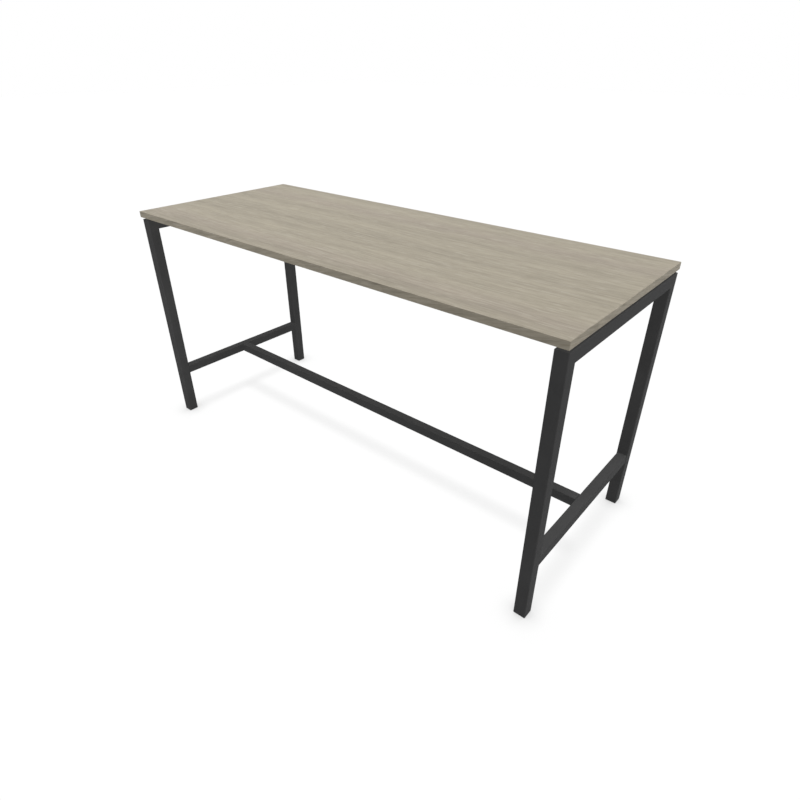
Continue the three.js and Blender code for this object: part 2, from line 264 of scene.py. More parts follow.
PLASTIC_ROUGHNESS = (0.48, 0.62)
ZINC_COLD = (0.50, 0.51, 0.54, 1)
ZINC_WARM = (0.62, 0.62, 0.60, 1)
ZINC_WORN = (0.72, 0.72, 0.72, 1)
ZINC_MOTTLE_REPEATS = (160.0, 160.0)
ZINC_MOTTLE_DETAIL = 3.0
ZINC_PEBBLES = 900.0
ZINC_WEAR = (0.4 * MM, 0.7)
ZINC_RELIEF = (0.02 * MM, 0.4)
ZINC_ROUGHNESS = (0.26, 0.42)

# Camera at the photograph's angle
CAMERA_PLACE = (1.5574, -1.6576, 1.6557)
CAMERA_TURN = (58.733, 0.0, 40.503)
CAMERA_LENS = 25.64

# Light of the studio: brightness overall and how it grows to the right, to the back and upwards
SKY_LEVEL = 0.16
SKY_RIGHT = 0.05
SKY_BACK = 0.06
SKY_UP = 0.08

# Wide lamps: an arrow towards each lamp, as long as its brightness. Only the top lamp casts shadows
LAMPS = {
    "key_lamp": (0.35, -0.27, 0.22),
    "fill_lamp": (-0.25, 0.35, 0.30),
    "bounce_lamp": (0.0, 0.0, -0.25),
    "top_lamp": (0.05, 0.0, 0.40),
}
LAMP_WIDTH = 20.0

# Small lamps without shadows, left of the camera and before the table's left half: place and watts
POINT_LAMPS = {
    "side_lamp": ((-1.5, -2.0, 0.8), 12.0),
    "inner_lamp": ((-0.55, -0.75, 0.55), 2.0),
}

# Floor: how clear and how shaded it looks, its bounce on the table, the painted contact shade round what
# stands on it, and a lamp that only shades it
FLOOR_REACH = 30.0
FLOOR_CLEAR = 0.817
FLOOR_SHADE = 0.05
FLOOR_BOUNCE = 0.075
CONTACT_SHADE_REACH = 72 * MM
CONTACT_SHADE_DEPTH = 0.42
CONTACT_SHADE_SAMPLES = 16
SHADOW_LAMP = 3.7
SHADOW_LAMP_WIDTH = 23.0
SHADOW_MAKERS = ["coated_foot_rail", *[f"coated_cross_bar_{end}" for end in ENDS],
                 *[f"coated_leg_{corner}" for corner in CORNERS]]


# Node trees

def fill_inputs(tree, node, inputs):
    """Fills a node's inputs with values, or with links where a socket is given."""
    for key, value in inputs.items():
        if isinstance(value, bpy.types.NodeSocket):
            tree.links.new(value, node.inputs[key])
        else:
            node.inputs[key].default_value = value


def add_node(tree, kind, inputs=None, **settings):
    """Adds a node with its settings and its inputs."""
    made = tree.nodes.new(kind)
    for key, value in settings.items():
        setattr(made, key, value)
    fill_inputs(tree, made, inputs or {})
    return made


def noise(tree, vector, repeats, detail=2.0, roughness=0.5):
    """Cloudy value about 0.5, with its own repeats to the metre along X and across it."""
    along, across = repeats
    scale = (along, across, across)
    scaled = add_node(tree, "ShaderNodeVectorMath", {0: vector, 1: scale}, operation="MULTIPLY")
    inputs = {"Vector": scaled.outputs[0], "Scale": 1.0, "Detail": detail, "Roughness": roughness}
    return add_node(tree, "ShaderNodeTexNoise", inputs).outputs[0]


def maths(tree, operation, first, second=0.0):
    return add_node(tree, "ShaderNodeMath", {0: first, 1: second}, operation=operation).outputs[0]


def spread(tree, value, low, high, bottom=0.0, top=1.0):
    """Maps the span from low to high onto bottom to top, and holds it there."""
    inputs = {"Value": value, "From Min": low, "From Max": high, "To Min": bottom, "To Max": top}
    return add_node(tree, "ShaderNodeMapRange", inputs).outputs[0]


def blend_colours(tree, share, first, second, way="MIX"):
    inputs = {0: share, 6: first, 7: second}
    return add_node(tree, "ShaderNodeMix", inputs, data_type="RGBA", blend_type=way).outputs[2]


def raised(tree, height, distance, strength):
    inputs = {"Height": height, "Distance": distance, "Strength": strength}
    return add_node(tree, "ShaderNodeBump", inputs).outputs[0]


def new_group(name, inputs, outputs):
    """Starts a shader group, and gives it with the sockets at its start and the node at its end."""
    group = bpy.data.node_groups.new(name, "ShaderNodeTree")
    for label, kind in inputs:
        group.interface.new_socket(label, in_out="INPUT", socket_type=kind)
    for label, kind in outputs:
        group.interface.new_socket(label, in_out="OUTPUT", socket_type=kind)
    start = group.nodes.new("NodeGroupInput")
    end = group.nodes.new("NodeGroupOutput")
    return group, start.outputs, end


def use_group(tree, group, inputs):
    return add_node(tree, "ShaderNodeGroup", inputs, node_tree=group).outputs


# Effects that several finishes share

def broad_bands(tree, grain, places, reach):
    """Mask of soft bands that run the whole length at these places across the board."""
    across = add_node(tree, "ShaderNodeSeparateXYZ", {0: grain}).outputs["Y"]
    figure = 0.0
    for place in places:
        away = maths(tree, "ABSOLUTE", maths(tree, "SUBTRACT", across, place))
        figure = maths(tree, "MAXIMUM", spread(tree, away, reach, 0.0), figure)
    return figure


def waver(tree, vector, repeats, reach):
    """Moves the grain across by up to the reach, in slow waves along it."""
    wave = spread(tree, noise(tree, vector, repeats), *WAVE_SPAN, -reach, reach)
    shift = add_node(tree, "ShaderNodeCombineXYZ", {"Y": wave}).outputs[0]
    return add_node(tree, "ShaderNodeVectorMath", {0: vector, 1: shift}, operation="ADD").outputs[0]


def growth_rings(tree, grain):
    """Rings cut lengthwise: lines along the board, dark on one side, with arches where they turn."""
    across = add_node(tree, "ShaderNodeSeparateXYZ", {0: grain}).outputs["Y"]
    swirl = maths(tree, "MULTIPLY", noise(tree, grain, RING_SWIRL_REPEATS), RING_SWIRL)
    age = maths(tree, "ADD", maths(tree, "MULTIPLY", across, RINGS_PER_METRE), swirl)
    return maths(tree, "POWER", maths(tree, "FRACT", age), RING_POWER)


def oak_tone(tree, figure, contrast):
    """Tone of the oak from dark to pale, made of its figure."""
    tone = OAK_START_TONE
    for name, share in OAK_TONE_SHARES.items():
        tone = maths(tree, "ADD", maths(tree, "MULTIPLY", figure[name], share), tone)
    stretched = maths(tree, "MULTIPLY", maths(tree, "SUBTRACT", tone, OAK_KEPT_TONE), contrast)
    return maths(tree, "ADD", stretched, OAK_KEPT_TONE)


def oak_grain_group():
    """Printed oak whose grain runs along X: colour, height of the pores, and roughness."""
    group, given, end = new_group(
        "oak grain",
        [("Vector", "NodeSocketVector"), ("Contrast", "NodeSocketFloat")],
        [("Colour", "NodeSocketColor"), ("Height", "NodeSocketFloat"), ("Roughness", "NodeSocketFloat")],
    )
    grain = given["Vector"]
    for repeats, reach in OAK_WAVES:
        grain = waver(group, grain, repeats, reach)
    figure = {"rings": growth_rings(group, grain)}
    for name, (repeats, detail, roughness, span) in OAK_FIGURE.items():
        figure[name] = spread(group, noise(group, grain, repeats, detail, roughness), *span)
    for name, (places, reach) in OAK_BROAD_BANDS.items():
        figure[name] = broad_bands(group, grain, places, reach)

    colour = blend_colours(group, oak_tone(group, figure, given["Contrast"]), OAK_DARK, OAK_PALE)
    tint = blend_colours(group, figure["rosy"], OAK_OLIVE_TINT, OAK_ROSY_TINT)
    colour = blend_colours(group, 1.0, colour, tint, "MULTIPLY")
    for name, (shade, share) in OAK_FINE_FIGURE.items():
        colour = blend_colours(group, maths(group, "MULTIPLY", figure[name], share), colour, shade)
    fibre_height = maths(group, "MULTIPLY", figure["fibres"], OAK_FIBRE_HEIGHT)
    height = maths(group, "SUBTRACT", fibre_height, figure["pores"])
    open_grain = maths(group, "ADD", figure["streaks"], figure["pores"])
    rough = spread(group, open_grain, 0.0, 2.0, *OAK_ROUGHNESS)
    fill_inputs(group, end, {"Colour": colour, "Height": height, "Roughness": rough})
    return group


def edge_wear_group():
    """Mask of edges that hands and cloths have rubbed, broken up along their length."""
    group, given, end = new_group(
        "edge wear",
        [("Vector", "NodeSocketVector"), ("Width", "NodeSocketFloat"), ("Amount", "NodeSocketFloat")],
        [("Mask", "NodeSocketFloat")],
    )
    rounded = add_node(group, "ShaderNodeBevel", {"Radius": given["Width"]}, samples=WEAR_SAMPLES).outputs[0]
    facing = add_node(group, "ShaderNodeNewGeometry").outputs["True Normal"]
    likeness = add_node(group, "ShaderNodeVectorMath", {0: rounded, 1: facing}, operation="DOT_PRODUCT")
    edge = spread(group, likeness.outputs["Value"], *WEAR_TURN)
    breaks = noise(group, given["Vector"], WEAR_REPEATS, WEAR_DETAIL, WEAR_ROUGHNESS)
    broken = spread(group, breaks, *WEAR_BREAKS)
    worn = maths(group, "MULTIPLY", maths(group, "MULTIPLY", edge, broken), given["Amount"])
    fill_inputs(group, end, {"Mask": worn})
    return group


def fine_texture_group():
    """Small pebbles of a textured coat or a moulded surface, with soft larger patches."""
    group, given, end = new_group(
        "fine texture",
        [("Vector", "NodeSocketVector"), ("Pebbles", "NodeSocketFloat")],
        [("Height", "NodeSocketFloat"), ("Patches", "NodeSocketFloat")],
    )
    inputs = {"Vector": given["Vector"], "Scale": given["Pebbles"], "Detail": PEBBLE_DETAIL,
              "Roughness": PEBBLE_ROUGHNESS}
    pebbles = add_node(group, "ShaderNodeTexNoise", inputs).outputs[0]
    patches = noise(group, given["Vector"], PATCH_REPEATS, PATCH_DETAIL)
    fill_inputs(group, end, {
        "Height": spread(group, pebbles, *PEBBLE_SPAN),
        "Patches": spread(group, patches, *NOISE_SPAN),
    })
    return group


OAK_GRAIN = oak_grain_group()
EDGE_WEAR = edge_wear_group()
FINE_TEXTURE = fine_texture_group()


# Finishes

def new_finish(name):
    """Starts a finish, and gives it with its node tree, its shader and the Object coordinates."""
    finish = bpy.data.materials.new(name)
    finish.use_nodes = True
    tree = finish.node_tree
    shader = tree.nodes["Principled BSDF"]
    place = tree.nodes.new("ShaderNodeTexCoord").outputs["Object"]
    return finish, tree, shader, place


def fine_texture(tree, place, pebbles):
    return use_group(tree, FINE_TEXTURE, {"Vector": place, "Pebbles": pebbles})


def worn_edges(tree, place, width, amount):
    return use_group(tree, EDGE_WEAR, {"Vector": place, "Width": width, "Amount": amount})["Mask"]


def oak_decor(name, turn, contrast, wear):
    """Matt oak decor with its grain turned to run along the piece, and lighter on rubbed edges."""
    finish, tree, shader, place = new_finish(name)
    turned_place = add_node(tree, "ShaderNodeMapping", {"Vector": place, "Rotation": turn}).outputs[0]
    grain = use_group(tree, OAK_GRAIN, {"Vector": turned_place, "Contrast": contrast})
    worn = worn_edges(tree, place, OAK_WEAR_WIDTH, wear)
    fill_inputs(tree, shader, {
        "Base Color": blend_colours(tree, worn, grain["Colour"], OAK_FIBRE),
        "Roughness": grain["Roughness"],
        "Normal": raised(tree, grain["Height"], *OAK_RELIEF),
        "Specular IOR Level": OAK_SHEEN,
    })
    return finish


def frame_coat():
    """Dark grey powder coat with a fine texture, a little smoother and paler on its edges."""
    finish, tree, shader, place = new_finish("frame coat")
    texture = fine_texture(tree, place, COAT_PEBBLES)
    worn = worn_edges(tree, place, *COAT_WEAR)
    tone = maths(tree, "MULTIPLY", maths(tree, "ADD", texture["Height"], texture["Patches"]), 0.5)
    ground = blend_colours(tree, tone, COAT_DARK, COAT_PALE)
    rough = spread(tree, texture["Patches"], 0.0, 1.0, *COAT_ROUGHNESS)
    rubbed = maths(tree, "MULTIPLY", worn, COAT_WORN_SMOOTHER)
    fill_inputs(tree, shader, {
        "Base Color": blend_colours(tree, worn, ground, COAT_WORN),
        "Roughness": maths(tree, "SUBTRACT", rough, rubbed),
        "Normal": raised(tree, texture["Height"], *COAT_RELIEF),
        "Specular IOR Level": COAT_SHEEN,
    })
    return finish


def moulded_plastic(name, dark, pale):
    """Black moulded plastic with a fine spark-eroded skin."""
    finish, tree, shader, place = new_finish(name)
    texture = fine_texture(tree, place, PLASTIC_PEBBLES)
    worn = worn_edges(tree, place, *PLASTIC_WEAR)
    ground = blend_colours(tree, texture["Patches"], dark, pale)
    fill_inputs(tree, shader, {
        "Base Color": blend_colours(tree, worn, ground, PLASTIC_WORN),
        "Roughness": spread(tree, texture["Patches"], 0.0, 1.0, *PLASTIC_ROUGHNESS),
        "Normal": raised(tree, texture["Height"], *PLASTIC_RELIEF),
    })
    return finish


def zinc_steel():
    """Bright zinc plating, mottled, with a fine grain and brighter edges."""
    finish, tree, shader, place = new_finish("zinc steel")
    texture = fine_texture(tree, place, ZINC_PEBBLES)
    mottle = spread(tree, noise(tree, place, ZINC_MOTTLE_REPEATS, ZINC_MOTTLE_DETAIL), *NOISE_SPAN)
    worn = worn_edges(tree, place, *ZINC_WEAR)
    ground = blend_colours(tree, mottle, ZINC_COLD, ZINC_WARM)
    fill_inputs(tree, shader, {
        "Base Color": blend_colours(tree, worn, ground, ZINC_WORN),
        "Roughness": spread(tree, mottle, 0.0, 1.0, *ZINC_ROUGHNESS),
        "Normal": raised(tree, texture["Height"], *ZINC_RELIEF),
        "Metallic": 1.0,
    })
    return finish


FACING = oak_decor("oak decor facing", (0, 0, 0), FACING_CONTRAST, FACING_WEAR)
LONG_BAND = oak_decor("oak decor long band", (0, BAND_SLANT, 0), BAND_CONTRAST, BAND_WEAR)
SHORT_BAND = oak_decor("oak decor short band", (BAND_SLANT, 0, math.pi / 2), BAND_CONTRAST, BAND_WEAR)
COAT = frame_coat()
FOOT_PLASTIC = moulded_plastic("foot plastic", FOOT_DARK, FOOT_PALE)
SPACER_PLASTIC = moulded_plastic("spacer plastic", SPACER_DARK, SPACER_PALE)
ZINC = zinc_steel()


# Pieces

def mesh_of(shape, name):
    """Turns a shape into a mesh, and frees the shape."""
    mesh = bpy.data.meshes.new(name)
    shape.to_mesh(mesh)
    shape.free()
    return mesh


def new_object(name, data):
    """Adds an object to the scene, at the origin."""
    made = bpy.data.objects.new(name, data)
    bpy.context.scene.collection.objects.link(made)
    return made


def finish_piece(name, shape, place, finish, nodes=(), body="table"):
    """Makes a piece of a shape, moved to its place, that stands for CAD nodes and rides on a body."""
    bmesh.ops.transform(shape, matrix=place, verts=shape.verts)
    bmesh.ops.recalc_face_normals(shape, faces=shape.faces)
    mesh = mesh_of(shape, name)
    mesh.shade_smooth()
    mesh.set_sharp_from_angle(angle=SHARP_ANGLE)
    mesh.materials.append(finish)
    piece = new_object(name, mesh)
    piece.modifiers.new("even shading", "WEIGHTED_NORMAL").keep_sharp = True
    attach(piece, body)
    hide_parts(*nodes)


def coated_piece(name, shape, place, nodes=()):
    finish_piece(name, shape, place, COAT, nodes)


def zinc_piece(name, shape, place, node, body="table"):
    finish_piece(name, shape, place, ZINC, [node], body)


def keep_node(node, finish):
    """Gives a CAD node that stays as it is its finish."""
    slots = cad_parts[node].data.materials
    slots.clear()
    slots.append(finish)


# Places

def middle_of(node):
    low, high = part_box(node)
    return (low + high) / 2


def size_of(node):
    low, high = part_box(node)
    return high - low


def end_of(corner):
    return corner.split("_")[1]


def standing(node, lift=0.0):
    """Place of a shape made upwards from Z = 0, at the bottom of a CAD node or lifted from there."""
    middle = middle_of(node)
    return Matrix.Translation((middle.x, middle.y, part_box(node)[0].z + lift))


def along_x(middle):
    """Place of a shape made along Z that lies along X, its +Y side upwards."""
    return Matrix.Translation(middle) @ Matrix(((0, 0, 1, 0), (1, 0, 0, 0), (0, 1, 0, 0), (0, 0, 0, 1)))


def along_y(middle):
    """Place of a shape made along Z that lies along -Y, its +Y side upwards."""
    return Matrix.Translation(middle) @ Matrix(((1, 0, 0, 0), (0, 0, -1, 0), (0, 1, 0, 0), (0, 0, 0, 1)))


def at_corner(corner, middle):
    """Place of a shape made for a back corner, which is turned round for a front corner."""
    turn = math.pi if corner.startswith("front") else 0.0
    return Matrix.Translation(middle) @ Matrix.Rotation(turn, 4, "Z")


def shear(slope, lift):
    """Matrix that raises each point by a slope times its Y, and by a lift."""
    matrix = Matrix.Identity(4)
    matrix[2][1] = slope
    matrix[2][3] = lift
    return matrix


# Basic shapes

def edges_among(verts):
    """Edges whose two ends are both among the vertices, in the vertices' order."""
    chosen = set(verts)
    met = [e for v in verts for e in v.link_edges if all(end in chosen for end in e.verts)]
    return list(dict.fromkeys(met))


def everything(shape):
    return [*shape.verts, *shape.edges, *shape.faces]


def new_verts(made):
    return [item for item in made["geom"] if isinstance(item, bmesh.types.BMVert)]


def beyond(edge, radius):
    """Whether an edge lies outside a radius about Z."""
    return min(vert.co.xy.length for vert in edge.verts) > radius


def rectangle(width, depth):
    """Flat rectangle about the origin."""
    shape = bmesh.new()
    bmesh.ops.create_grid(shape, x_segments=1, y_segments=1, size=0.5)
    bmesh.ops.scale(shape, vec=(width, depth, 1), verts=shape.verts)
    return shape


def round_corners(shape, corners, radius):
    bmesh.ops.bevel(shape, geom=corners, offset=radius, segments=CORNER_STEPS, profile=0.5,
                    affect="VERTICES", material=-1)


def circle(shape, radius, steps, place):
    """Adds a round of edges to a shape, and gives its edges."""
    return edges_among(bmesh.ops.create_circle(shape, segments=steps, radius=radius, matrix=place)["verts"])


def thicken(shape, height):
    """Raises flat faces into a closed solid that starts at Z = 0."""
    made = bmesh.ops.extrude_face_region(shape, geom=list(shape.faces))
    bmesh.ops.translate(shape, vec=(0, 0, height), verts=new_verts(made))


def square_tube(size, wall, length):
    """Square tube along Z, centred on its length."""
    shape = rectangle(size, size)
    round_corners(shape, shape.verts, TUBE_CORNER)
    rim = bmesh.ops.inset_region(shape, faces=shape.faces, thickness=wall, use_boundary=True,
                                 use_even_offset=True)["faces"]
    inside = [face for face in shape.faces if face not in rim]
    bmesh.ops.delete(shape, geom=inside, context="FACES")
    thicken(shape, length)
    bmesh.ops.translate(shape, vec=(0, 0, -length / 2), verts=shape.verts)
    return shape


def mitre(shape, size, end):
    """Shears a tube's end to 45 degrees, leaving its +Y side at full length."""
    way = math.copysign(1, end)
    end_verts = [vert for vert in shape.verts if abs(vert.co.z - end) < TINY]
    bmesh.ops.transform(shape, matrix=shear(way, -way * size / 2), verts=end_verts)


def drill(shape, tube, facing, spot, radius):
    """Drills a round hole through the wall on one side of a tube, given by its size and wall."""
    size, wall = tube
    for height in (spot.z - HOLE_MARGIN * radius, spot.z + HOLE_MARGIN * radius):
        bmesh.ops.bisect_plane(shape, geom=everything(shape), dist=TINY,
                               plane_co=(0, 0, height), plane_no=(0, 0, 1))
    turn = facing.to_track_quat("Z", "Y").to_matrix().to_4x4()
    rings = []
    for depth in (size / 2, size / 2 - wall):
        wall_middle = facing * depth + Vector((0, 0, spot.z))
        patch = min(shape.faces, key=lambda face: (face.calc_center_median() - wall_middle).length)
        outline = list(patch.edges)
        bmesh.ops.delete(shape, geom=[patch], context="FACES_ONLY")
        ring = circle(shape, radius, HOLE_STEPS, Matrix.Translation(facing * depth + spot) @ turn)
        bmesh.ops.triangle_fill(shape, edges=outline + ring, use_beauty=True)
        rings += ring
    bmesh.ops.bridge_loops(shape, edges=rings)


def open_profile(shape, profile):
    """Adds a line through (radius, height) pairs to a shape, and gives its points and edges."""
    points = [shape.verts.new((radius, 0, height)) for radius, height in profile]
    return [*points, *[shape.edges.new(pair) for pair in zip(points, points[1:])]]


def turned(profile):
    """Turns a profile of (radius, height) pairs about Z."""
    shape = bmesh.new()
    bmesh.ops.spin(shape, geom=open_profile(shape, profile), axis=(0, 0, 1), cent=(0, 0, 0),
                   angle=2 * math.pi, steps=TURNED_STEPS, use_merge=True)
    bmesh.ops.remove_doubles(shape, verts=shape.verts, dist=TINY)
    return shape


def soften(shape, width, steps=ARRIS_STEPS, chosen=None):
    """Rounds the sharp edges of a shape, or the chosen ones among them."""
    sharp = [e for e in shape.edges if e.is_manifold and e.calc_face_angle() > SHARP_ANGLE]
    picked = [e for e in sharp if chosen is None or chosen(e)]
    bmesh.ops.bevel(shape, geom=picked, offset=width, segments=steps, profile=0.5, affect="EDGES",
                    material=-1)


def sink_key(shape, key, height, depth):
    """Closes the open round at a height with a flat, and sinks a six-sided socket into it."""
    rim = [e for e in shape.edges if e.is_boundary]
    mouth = circle(shape, key, KEY_SIDES, Matrix.Translation((0, 0, height)))
    bmesh.ops.triangle_fill(shape, edges=rim + mouth, use_beauty=True)
    floor_verts = new_verts(bmesh.ops.extrude_edge_only(shape, edges=mouth))
    bmesh.ops.translate(shape, vec=(0, 0, depth), verts=floor_verts)
    bmesh.ops.contextual_create(shape, geom=floor_verts)


def domed_head(radius, height, rim, crown):
    """Half profile of a domed head, from the edge of its flat crown to its seat at height 0."""
    rise = height - rim
    dome = []
    for step in range(DOME_STEPS + 1):
        angle = math.pi / 2 * (1 - step / DOME_STEPS)
        dome.append((crown + (radius - crown) * math.cos(angle), -rim - rise * math.sin(angle)))
    return [*dome, (radius, 0)]


# Board

def add_edge_band(name, finish):
    """Edge band with round arrises. The long bands turn the corners, and the short ones end there."""
    node = f"edge_band_{name}"
    middle = middle_of(node)
    size = size_of(node)
    outward = Vector((middle.x, middle.y, 0)).normalized()
    inner_face = -abs(size.dot(outward)) / 2
    is_long = name in SIDES

    def inner(vert):
        return vert.co.dot(outward) < inner_face + TINY

    def arris(edge):
        inside = [inner(vert) for vert in edge.verts]
        level = abs(edge.verts[0].co.z - edge.verts[1].co.z) < TINY
        return level and not (all(inside) if is_long else any(inside))

    shape = rectangle(size.x, size.y)
    if is_long:
        round_corners(shape, [vert for vert in shape.verts if not inner(vert)], BAND_CORNER)
    thicken(shape, size.z)
    soften(shape, BAND_ARRIS, BAND_ARRIS_STEPS, arris)
    finish_piece(f"oak_band_{name}", shape, standing(node), finish, [node])


def add_board():
    keep_node("top_panel", FACING)
    for name in SIDES:
        add_edge_band(name, LONG_BAND)
    for name in ENDS:
        add_edge_band(name, SHORT_BAND)


# Welds

def point_on_rounded_square(half, corner, travel):
    """Point and heading at a distance of travel round a square with round corners."""
    straight = 2 * (half - corner)
    quarter = corner * math.pi / 2
    side, rest = divmod(travel, straight + quarter)
    if rest < straight:
        point = Vector((half, rest - straight / 2, 0))
        heading = 0.0
    else:
        heading = (rest - straight) / corner
        centre = Vector((half - corner, straight / 2, 0))
        point = centre + corner * Vector((math.cos(heading), math.sin(heading), 0))
    turn = Matrix.Rotation(side * math.pi / 2, 4, "Z")
    return turn @ point, heading + side * math.pi / 2


def bead_round_tube(size):
    """Rippled weld bead round a square tube that stands on the plane Z = 0."""
    half = size / 2
    whole = 4 * (2 * (half - TUBE_CORNER) + TUBE_CORNER * math.pi / 2)
    count = BEAD_STEPS * round(whole / BEAD_RIPPLE)
    shape = bmesh.new()
    rings = []
    for step in range(count):
        point, heading = point_on_rounded_square(half, TUBE_CORNER, whole * step / count)
        swell = 1 + BEAD_SWELL * (step % BEAD_STEPS - 1)
        turn = Matrix.Rotation(heading, 4, "Z") @ Matrix.Rotation(math.pi / 2, 4, "X")
        rings.append(circle(shape, BEAD_RADIUS * swell, BEAD_SIDES, Matrix.Translation(point) @ turn))
    for ring, following in zip(rings, rings[1:] + rings[:1]):
        bmesh.ops.bridge_loops(shape, edges=ring + following)
    return shape


BAR_BEAD = bead_round_tube(size_of("foot_rail").z)


def add_bar_weld(name, place):
    """Bead round the end of a cross bar or a beam, whose tube is that of the foot rail."""
    coated_piece(name, BAR_BEAD.copy(), place)


def add_mitre_weld(corner):
    """Ground weld that closes the mitre between a leg and the top rail."""
    leg = f"leg_{corner}"
    leg_size = size_of(leg).x
    leg_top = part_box(leg)[1].z
    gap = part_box(f"top_rail_{end_of(corner)}")[1].z - leg_top
    shape = square_tube(leg_size - 2 * MITRE_SUNK, LEG_WALL, gap + 2 * MITRE_LAP)
    bmesh.ops.transform(shape, matrix=shear(1, 0), verts=shape.verts)
    middle = middle_of(leg)
    middle.z = leg_top + (gap - leg_size) / 2
    coated_piece(f"mitre_weld_{corner}", shape, at_corner(corner, middle))


# End frames

def add_leg(corner):
    node = f"leg_{corner}"
    size = size_of(node)
    shape = square_tube(size.x, LEG_WALL, size.z)
    mitre(shape, size.x, size.z / 2)
    coated_piece(f"coated_leg_{corner}", shape, at_corner(corner, middle_of(node)), [node])


def add_top_rail(end):
    """Top rail with mitred ends, holes for the board's screws and their driver, and holes for the bolts."""
    node = f"top_rail_{end}"
    middle = middle_of(node)
    size = size_of(node)
    tube = (size.z, LEG_WALL)
    shape = square_tube(*tube, size.y)
    mitre(shape, size.z, size.y / 2)
    mitre(shape, size.z, -size.y / 2)
    inward = Vector((INWARD[end], 0, 0))
    for side in SIDES:
        screw = Vector((0, 0, middle.y - middle_of(f"top_screw_{side}_{end}").y))
        drill(shape, tube, LOWER_SIDE, screw, DRIVER_HOLE)
        drill(shape, tube, UPPER_SIDE, screw, SCREW_HOLE)
        for number in PAIR:
            bolt = middle_of(f"plate_bolt_{side}_{end}_{number}")
            drill(shape, tube, inward, Vector((0, bolt.z - middle.z, middle.y - bolt.y)), BOLT_HOLE)
    coated_piece(f"coated_rail_{end}", shape, along_y(middle), [node])


def add_cross_bar(end):
    """Low cross bar, and the beads that weld it to the legs."""
    node = f"cross_bar_{end}"
    low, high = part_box(node)
    middle = middle_of(node)
    size = size_of(node)
    shape = square_tube(size.z, BAR_WALL, size.y)
    coated_piece(f"coated_cross_bar_{end}", shape, along_y(middle), [node])
    for side, y in zip(SIDES, (low.y, high.y)):
        add_bar_weld(f"cross_bar_weld_{side}_{end}", along_y((middle.x, y, middle.z)))


def add_end_frame(end):
    for side in SIDES:
        add_leg(f"{side}_{end}")
        add_mitre_weld(f"{side}_{end}")
    add_top_rail(end)
    add_cross_bar(end)


# Foot rail

def add_foot_rail():
    """Foot rail with holes for the set screws, pushed over the two spigots."""
    middle = middle_of("foot_rail")
    size = size_of("foot_rail")
    tube = (size.z, BAR_WALL)
    shape = square_tube(*tube, size.x)
    for end in ENDS:
        keep_node(f"foot_rail_spigot_{end}", COAT)
        for number in PAIR:
            along = middle_of(f"foot_rail_set_screw_{end}_{number}").x - middle.x
            drill(shape, tube, LOWER_SIDE, Vector((0, 0, along)), SET_SCREW_HOLE)
    coated_piece("coated_foot_rail", shape, along_x(middle), ["foot_rail"])


def add_set_screw(end, number):
    node = f"foot_rail_set_screw_{end}_{number}"
    radius = size_of(node).y / 2
    height = size_of(node).z
    chamfer = SET_SCREW_CHAMFER * radius
    shape = turned([(radius - 2 * chamfer, 0), (radius, 2 * chamfer), (radius, height - chamfer),
                    (radius - chamfer, height), (0, height)])
    sink_key(shape, SET_SCREW_KEY, 0, height / 2)
    zinc_piece(f"foot_rail_grub_screw_{end}_{number}", shape, standing(node), node)


# Beams and their end plates

def add_beam(side):
    """Beam with a hole for the board's screw and one for its driver, and the beads at its end plates."""
    node = f"beam_{side}"
    low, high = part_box(node)
    middle = middle_of(node)
    size = size_of(node)
    tube = (size.z, BAR_WALL)
    shape = square_tube(*tube, size.x)
    drill(shape, tube, LOWER_SIDE, Vector(), DRIVER_HOLE)
    drill(shape, tube, UPPER_SIDE, Vector(), SCREW_HOLE)
    coated_piece(f"coated_beam_{side}", shape, along_x(middle), [node])
    for end, x in zip(ENDS, (low.x, high.x)):
        add_bar_weld(f"beam_weld_{side}_{end}", along_x((x, middle.y, middle.z)))


def add_plate(corner):
    """End plate of a beam, with round corners, two bolt holes and a softened outline."""
    node = f"beam_plate_{corner}"
    middle = middle_of(node)
    size = size_of(node)
    spots = [middle_of(f"plate_bolt_{corner}_{number}").y - middle.y for number in PAIR]
    shape = rectangle(size.y, size.z)
    round_corners(shape, shape.verts, PLATE_CORNER)
    rims = list(shape.edges)
    bmesh.ops.delete(shape, geom=list(shape.faces), context="FACES_ONLY")
    for across in spots:
        rims += circle(shape, BOLT_HOLE, HOLE_STEPS, Matrix.Translation((across, 0, 0)))
    bmesh.ops.triangle_fill(shape, edges=rims, use_beauty=True)
    thicken(shape, size.x)
    bmesh.ops.translate(shape, vec=(0, 0, -size.x / 2), verts=shape.verts)

    def outline(edge):
        ends = [math.hypot(v.co.x - across, v.co.y) for v in edge.verts for across in spots]
        return min(ends) > BOLT_HOLE + TINY

    soften(shape, PLATE_ARRIS, chosen=outline)
    coated_piece(f"end_plate_{corner}", shape, along_x(middle), [node])


def add_bolt(corner, number):
    """Bolt with a domed head on the plate's inner face and its shank in the top rail."""
    node = f"plate_bolt_{corner}_{number}"
    middle = middle_of(node)
    size = size_of(node)
    length = size.x - BOLT_HEAD
    head = domed_head(size.y / 2, BOLT_HEAD, BOLT_RIM, BOLT_CROWN)
    shape = turned([*head, (BOLT_SHANK, 0), (BOLT_SHANK, length - BOLT_TIP), (BOLT_SHANK - BOLT_TIP, length),
                    (0, length)])
    sink_key(shape, BOLT_KEY, -BOLT_HEAD, BOLT_KEY_DEPTH)
    inward = INWARD[end_of(corner)]
    seat = Vector((middle.x + inward * (size.x / 2 - BOLT_HEAD), middle.y, middle.z))
    place = Matrix.Translation(seat) @ Matrix.Rotation(-inward * math.pi / 2, 4, "Y")
    zinc_piece(f"button_bolt_{corner}_{number}", shape, place, node)


# Spacers and the screws of the board

